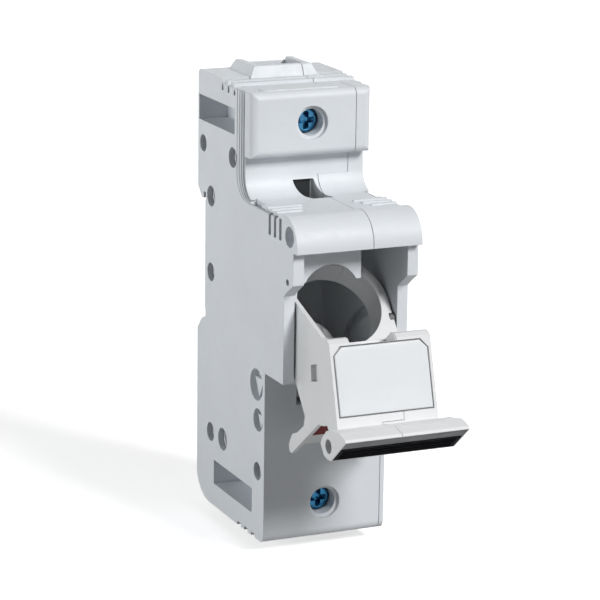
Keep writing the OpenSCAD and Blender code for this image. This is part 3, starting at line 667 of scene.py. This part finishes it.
@dataclass
class GripPlate:
    """Two-tone plate on the front of the grip: a dark ridged field below a grey band with an oval boss."""

    swing: Swing
    half: float = 17.2
    low_z: float = -7.5
    split_z: float = -1.2
    high_z: float = 3.1
    front: float = -70.1
    thick: float = 0.7
    border: float = 0.5
    ridge_pitch: float = 1.7
    ridge_half: float = 0.12
    groove_depth: float = 0.45
    boss_x: float = 11.4
    boss_z: float = 1.2
    boss_half: tuple[float, float] = (2.6, 1.0)
    band_step: float = 0.14
    columns: int = 180

    def field(self, x: np.ndarray, z: np.ndarray) -> np.ndarray:
        """Depth of the dark field: fine ridges along the grip that end before both sides.

        Args:
            x: Place across the grip.
            z: Height with the carrier shut.

        Returns:
            Depth behind the front plane.
        """
        along = np.clip((self.half - 1.0 - np.abs(x)) / 0.3, 0, 1)
        above, below = z - self.low_z - self.border, self.split_z - self.border - z
        ridge = np.abs(above % self.ridge_pitch - self.ridge_pitch / 2)
        groove = np.clip((ridge - self.ridge_half) / 0.25, 0, 1)
        inside = np.clip(above / 0.1, 0, 1) * np.clip(below / 0.1, 0, 1)
        return self.groove_depth * along * groove * inside

    def band(self, x: np.ndarray, z: np.ndarray) -> np.ndarray:
        """Depth of the grey band: flat, with an oval boss near its right end.

        Args:
            x: Place across the grip.
            z: Height with the carrier shut.

        Returns:
            Depth behind the front plane.
        """
        half_x, half_z = self.boss_half
        off = ((x - self.boss_x) / half_x) ** 2 + ((z - self.boss_z) / half_z) ** 2
        oval = np.clip((1 - off) * 3, 0, 1)
        edge = np.clip((z - self.split_z) / self.border, 0, 1)
        return self.band_step + 0.1 * (1 - edge) - 0.13 * oval

    def strip(self, low: float, high: float, lines: int,
              depth: Callable[[np.ndarray, np.ndarray], np.ndarray]) -> tuple[np.ndarray, list[list[int]]]:
        """Makes one strip of the plate as a relief over a flat back.

        Args:
            low: Lower end of the strip.
            high: Upper end of the strip.
            lines: Grid lines between them.
            depth: Depth behind the front plane at each place.

        Returns:
            The points, with the carrier open, and the faces.
        """
        gx, gz = np.meshgrid(np.linspace(-self.half, self.half, self.columns), np.linspace(low, high, lines))
        face = np.stack([gx, self.front + depth(gx, gz), gz], axis=2)
        back = np.stack([gx, np.full_like(gx, self.front + self.thick), gz], axis=2)
        points, faces = relief_solid(face, back)
        return self.swing.opened(points), faces

    def build(self, shop: Shop) -> None:
        """Builds the dark field and the grey band.

        Args:
            shop: Maker of pieces.
        """
        points, faces = self.strip(self.low_z, self.split_z - 0.02, 80, self.field)
        shop.piece("grip_plate_ribbed", points, faces, Body.CARRIER, DARK, ["grip_plate"], 40.0)
        points, faces = self.strip(self.split_z, self.high_z, 44, self.band)
        shop.piece("grip_plate_band", points, faces, Body.CARRIER, BAND, ["grip_plate"], 40.0)


def relief_solid(face: np.ndarray, back: np.ndarray) -> tuple[np.ndarray, list[list[int]]]:
    """Closes two grids of the same shape into a solid.

    Args:
        face: Grid of front points.
        back: Grid of back points, with the same outline.

    Returns:
        The points and the faces.
    """
    lines, columns = face.shape[:2]
    count = lines * columns
    points = np.vstack([face.reshape(-1, 3), back.reshape(-1, 3)])
    index = np.arange(count).reshape(lines, columns)
    faces: list[list[int]] = []
    for i in range(lines - 1):
        for k in range(columns - 1):
            quad = [int(index[i, k]), int(index[i, k + 1]), int(index[i + 1, k + 1]), int(index[i + 1, k])]
            faces.append(quad)
            faces.append([q + count for q in reversed(quad)])
    rim = list(index[0, :]) + list(index[1:, -1]) + list(index[-1, -2::-1]) + list(index[-2:0:-1, 0])
    for a, b in zip(rim, rim[1:] + rim[:1]):
        faces.append([int(b), int(a), int(a) + count, int(b) + count])
    return points, faces


@dataclass
class IndicatorWindow:
    """Red light guide of the blown-fuse indicator: a window and its flat tail on the carrier's underside."""

    swing: Swing
    low_x: float = -12.8
    high_x: float = -5.0
    tail_z: float = -31.6
    step_z: float = -17.4
    high_z: float = -12.2
    front: float = -53.3
    tail_back: float = -53.02
    back: float = -52.1
    rim_drop: float = 0.18
    rim_width: float = 0.25
    rib_depth: float = 0.05
    rib_pitch: float = 1.6
    columns: int = 48

    def build(self, shop: Shop) -> None:
        """Builds the guide as a relief whose rim is rounded off; its back steps in behind the window.

        Args:
            shop: Maker of pieces.
        """
        x = np.linspace(self.low_x, self.high_x, self.columns)
        z = np.concatenate([np.linspace(self.tail_z, self.step_z - 0.02, 60),
                            np.linspace(self.step_z, self.high_z, 32)])
        gx, gz = np.meshgrid(x, z)
        rim = np.minimum(np.minimum(gx - self.low_x, self.high_x - gx),
                         np.minimum(gz - self.tail_z, self.high_z - gz))
        drop = self.rim_drop * np.exp(-(rim / self.rim_width) ** 2)
        wave = 0.5 - 0.5 * np.cos(2 * math.pi * gz / self.rib_pitch)
        ribs = self.rib_depth * wave * np.clip(rim / 0.6 - 0.5, 0, 1)
        face = np.stack([gx, self.front + drop + ribs, gz], axis=2)
        back = np.stack([gx, np.where(gz < self.step_z - 0.01, self.tail_back, self.back), gz], axis=2)
        points, faces = relief_solid(face, back)
        shop.piece("indicator_window", self.swing.opened(points), faces, Body.CARRIER, LENS,
                   ["indicator_lens"], 40.0)


@dataclass
class MarkingInsert:
    """White snap-in plate with cut upper corners and a rounded rim."""

    swing: Swing
    half: float = 13.3
    length: float = 17.8
    top: float = 1.0
    corner: float = 2.1
    thick: float = 0.9
    proud: float = 0.15
    round_r: float = 0.35
    plate_y: float = -42.6
    plate_z: float = 3.2
    foot_y: float = -62.6
    foot_z: float = -5.6

    def outline(self, inset: float) -> np.ndarray:
        """Outline in the plane of the carrier's plate, drawn in by an inset.

        Args:
            inset: Distance inside the outline.

        Returns:
            Points of the outline, with about even spacing.
        """
        w, t, b = self.half - inset, -self.top - inset, inset - self.top - self.length
        c = max(0.4, self.corner - 0.6 * inset)
        corners = np.array([(-w, b), (w, b), (w, t - c), (w - c, t), (c - w, t), (-w, t - c)])
        points = []
        for a, d in zip(corners, np.roll(corners, -1, axis=0)):
            points.extend(a + (d - a) * s for s in np.linspace(0, 1, 12, endpoint=False))
        return np.array(points)

    def build(self, shop: Shop) -> None:
        """Builds the insert from rings that follow a rounded rim.

        Args:
            shop: Maker of pieces.
        """
        tilt = math.atan2(self.plate_z - self.foot_z, self.plate_y - self.foot_y)
        c, s = math.cos(tilt), math.sin(tilt)
        heights = [(0.0, -self.thick), (0.0, self.proud - self.round_r)]
        heights += [(self.round_r * (1 - math.cos(a)), self.proud - self.round_r * (1 - math.sin(a)))
                    for a in np.linspace(0.15, math.pi / 2, 6)]
        heights += [(inset, self.proud) for inset in (1.5, 4.0, 7.0)]
        rows = []
        for inset, height in heights:
            flat = self.outline(inset)
            rows.append(np.stack([flat[:, 0], self.plate_y + c * flat[:, 1] - s * height,
                                  self.plate_z + s * flat[:, 1] + c * height], axis=1))
        grid = np.array(rows)
        middle = grid.mean(axis=1)
        points, faces = lathe(grid, middle[0], middle[-1])
        shop.piece("marking_insert_rounded", self.swing.opened(points), faces, Body.CARRIER, INSERT,
                   ["marking_insert"], 40.0)


@dataclass(frozen=True)
class Softbox:
    """Square area light; places are millimetres."""

    name: str
    at: tuple[float, float, float]
    aim: tuple[float, float, float]
    size: float
    watts: float
    colour: Colour = (1.0, 1.0, 1.0)

    def build(self) -> None:
        """Adds the light to the scene."""
        data = bpy.data.lights.new(self.name, "AREA")
        data.shape = "SQUARE"
        data.size = self.size * MM
        data.energy = self.watts
        data.color = self.colour
        lamp = bpy.data.objects.new(self.name, data)
        lamp.location = Vector(self.at) * MM
        lamp.rotation_euler = (Vector(self.aim) - Vector(self.at)).to_track_quat("-Z", "Y").to_euler()
        bpy.context.scene.collection.objects.link(lamp)


SOFTBOXES = (
    Softbox("key_light", (660, -1660, 1300), (0, -20, 0), 640, 41.5),
    Softbox("side_light", (-900, 100, 150), (0, -20, 0), 500, 3.9, (0.97, 0.99, 1.0)),
    Softbox("back_light", (-300, 700, 20), (0, 0, 0), 260, 0.9),
)


@dataclass
class Studio:
    """Pale floor, soft lights and the camera that was fitted to the photograph."""

    floor_z: float = -75.2
    camera_at: tuple[float, float, float] = (-294.877, -686.743, 173.935)
    yaw: float = 0.419286
    pitch: float = 0.247257
    roll: float = 0.013796
    focal_px: float = 2720.74
    frame_px: float = 600.0
    sensor: float = 36.0
    stray_grey: float = 0.32
    glow: float = 0.62
    sky: float = 0.11

    def floor(self) -> None:
        """Builds a pale sweep: a flat floor that curves up into a backdrop."""
        r, back = 400.0, 900.0
        arc = np.linspace(0, math.pi / 2, 24)
        line = [(-2600.0, 0.0), (-900.0, 0.0), (0.0, 0.0)]
        line += [(back - r + r * math.sin(a), r * (1 - math.cos(a))) for a in arc]
        line += [(back, 2600.0)]
        points = [(x, y, self.floor_z + z) for y, z in line for x in (-3200.0, 3200.0)]
        faces = [[2 * i, 2 * i + 1, 2 * i + 3, 2 * i + 2] for i in range(len(line) - 1)]
        mesh = bpy.data.meshes.new("studio_sweep")
        mesh.from_pydata((np.array(points) * MM).tolist(), [], faces)
        mesh.polygons.foreach_set("use_smooth", [True] * len(faces))
        mesh.materials.append(self.pale())
        sweep = bpy.data.objects.new("studio_sweep", mesh)
        bpy.context.scene.collection.objects.link(sweep)

    def pale(self) -> bpy.types.Material:
        """Makes the sweep's material: white where it is seen, greyer where it throws light on the object.

        Returns:
            The material.
        """
        n = Nodes("studio_pale")
        seen = self.seen(n.tree)
        place = n.add("ShaderNodeTexCoord").outputs["Object"]
        drift = n.remap(n.noise(place, 3.0), 0.3, 0.7, 0.0, 1.0)
        white = n.mix(drift, (0.97, 0.97, 0.97), (0.95, 0.95, 0.95))
        shader = n.add("ShaderNodeBsdfPrincipled", in_Roughness=0.9)
        shader.inputs["Specular IOR Level"].default_value = 0.05
        n.link(n.mix(seen, (self.stray_grey,) * 3, white), shader.inputs["Base Color"])
        shader.inputs["Emission Color"].default_value = (1.0, 1.0, 1.0, 1.0)
        glow = n.add("ShaderNodeMath", operation="MULTIPLY")
        n.link(seen, glow.inputs[0])
        glow.inputs[1].default_value = self.glow
        n.link(glow.outputs[0], shader.inputs["Emission Strength"])
        out = n.add("ShaderNodeOutputMaterial")
        n.link(shader.outputs["BSDF"], out.inputs["Surface"])
        return n.material

    @staticmethod
    def seen(tree: bpy.types.NodeTree) -> bpy.types.NodeSocket:
        """Adds nodes that are 1 where the camera, gloss or glass looks and 0 for light that strays.

        Args:
            tree: Node tree to add them to.

        Returns:
            The joined value.
        """
        path = tree.nodes.new("ShaderNodeLightPath")
        value = path.outputs["Is Camera Ray"]
        for name in ("Is Glossy Ray", "Is Transmission Ray"):
            most = tree.nodes.new("ShaderNodeMath")
            most.operation = "MAXIMUM"
            tree.links.new(value, most.inputs[0])
            tree.links.new(path.outputs[name], most.inputs[1])
            value = most.outputs[0]
        return value

    def world(self) -> None:
        """Gives an even sky that camera, gloss and glass see as white."""
        world = bpy.data.worlds.new("studio_sky")
        world.use_nodes = True
        tree = world.node_tree
        tree.nodes.clear()
        seen = self.seen(tree)
        sky = tree.nodes.new("ShaderNodeBackground")
        sky.inputs["Strength"].default_value = self.sky
        white = tree.nodes.new("ShaderNodeBackground")
        white.inputs["Strength"].default_value = 1.0
        for shader in (sky, white):
            shader.inputs["Color"].default_value = (1.0, 1.0, 1.0, 1.0)
        mix = tree.nodes.new("ShaderNodeMixShader")
        tree.links.new(seen, mix.inputs[0])
        tree.links.new(sky.outputs[0], mix.inputs[1])
        tree.links.new(white.outputs[0], mix.inputs[2])
        out = tree.nodes.new("ShaderNodeOutputWorld")
        tree.links.new(mix.outputs[0], out.inputs["Surface"])
        bpy.context.scene.world = world

    def camera(self) -> None:
        """Places the camera from its fitted yaw, pitch and roll."""
        cy, sy, cp, sp = math.cos(self.yaw), math.sin(self.yaw), math.cos(self.pitch), math.sin(self.pitch)
        forward = Vector((sy * cp, cy * cp, -sp))
        right = Vector((cy, -sy, 0.0))
        up = right.cross(forward)
        cr, sr = math.cos(self.roll), math.sin(self.roll)
        across = right * cr + up * sr
        above = up * cr - right * sr
        data = bpy.data.cameras.new("photo_camera")
        data.sensor_width = self.sensor
        data.lens = self.focal_px / self.frame_px * self.sensor
        data.clip_start = 0.01
        data.clip_end = 20.0
        camera = bpy.data.objects.new("photo_camera", data)
        turn = Matrix((across, above, -forward)).transposed().to_4x4()
        camera.matrix_world = Matrix.Translation(Vector(self.camera_at) * MM) @ turn
        bpy.context.scene.collection.objects.link(camera)
        bpy.context.scene.camera = camera

    def build(self) -> None:
        """Sets up floor, lights, sky, colour view and camera."""
        self.floor()
        self.world()
        for softbox in SOFTBOXES:
            softbox.build()
        scene = bpy.context.scene
        scene.view_settings.view_transform = "Standard"
        scene.view_settings.look = "None"
        self.camera()


def corners(box: Sequence[Sequence[float]]) -> list[list[float]]:
    """Turns the two corners of a box into plain lists."""
    return [[float(v) for v in corner] for corner in box]


def main() -> None:
    """Dresses the CAD nodes, builds the finer pieces and sets up the studio."""
    logging.basicConfig(level=logging.INFO, format="%(name)s: %(message)s")
    shop = Shop()
    for node, finish in NODE_FINISH.items():
        shop.dress(node, finish)
    swing = Swing()
    builders: list[Callable[[Shop], None]] = [
        ClampScrew("upper_clamp_screw", Body.UPPER_SCREW).build,
        ClampScrew("lower_clamp_screw", Body.LOWER_SCREW).build,
        LatchSpring().build,
        Rivets().build,
        GripPlate(swing).build,
        MarkingInsert(swing).build,
        IndicatorWindow(swing).build,
    ]
    for build in builders:
        build(shop)
    Studio().build()


if __name__ == "__main__":
    main()
